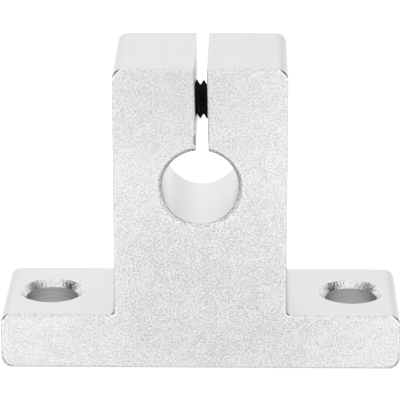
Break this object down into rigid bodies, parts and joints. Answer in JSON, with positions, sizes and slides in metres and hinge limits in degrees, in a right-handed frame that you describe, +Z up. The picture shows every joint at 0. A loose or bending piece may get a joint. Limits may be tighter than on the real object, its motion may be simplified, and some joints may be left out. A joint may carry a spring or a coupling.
{
  "type": "shaft support block",
  "caption": "Upright shaft support block: a one-piece aluminium upside-down T whose bored and slit upright is drawn onto a round shaft by a cross screw.",
  "frame": {"origin": "middle of the foot's underside, straight below the bore's middle", "axes": "+X along the foot, +Y along the shaft away from the face the picture shows, +Z up"},
  "size_m": [0.042, 0.014, 0.0328],
  "materials": {
    "block": "blasted cut faces, satin extruded faces, clear",
    "clamp_screw": "black oxide"
  },
  "bodies": {
    "block": {"block": "block"},
    "clamp_screw": {"clamp_screw": "clamp_screw"}
  },
  "joints": [
    {"name": "clamp_screw_turn", "type": "hinge", "parent": "block", "child": "clamp_screw", "pos_m": [0, 0, 0.0275], "axis": [-1, 0, 0], "range_deg": [-450, 90]}
  ]
}
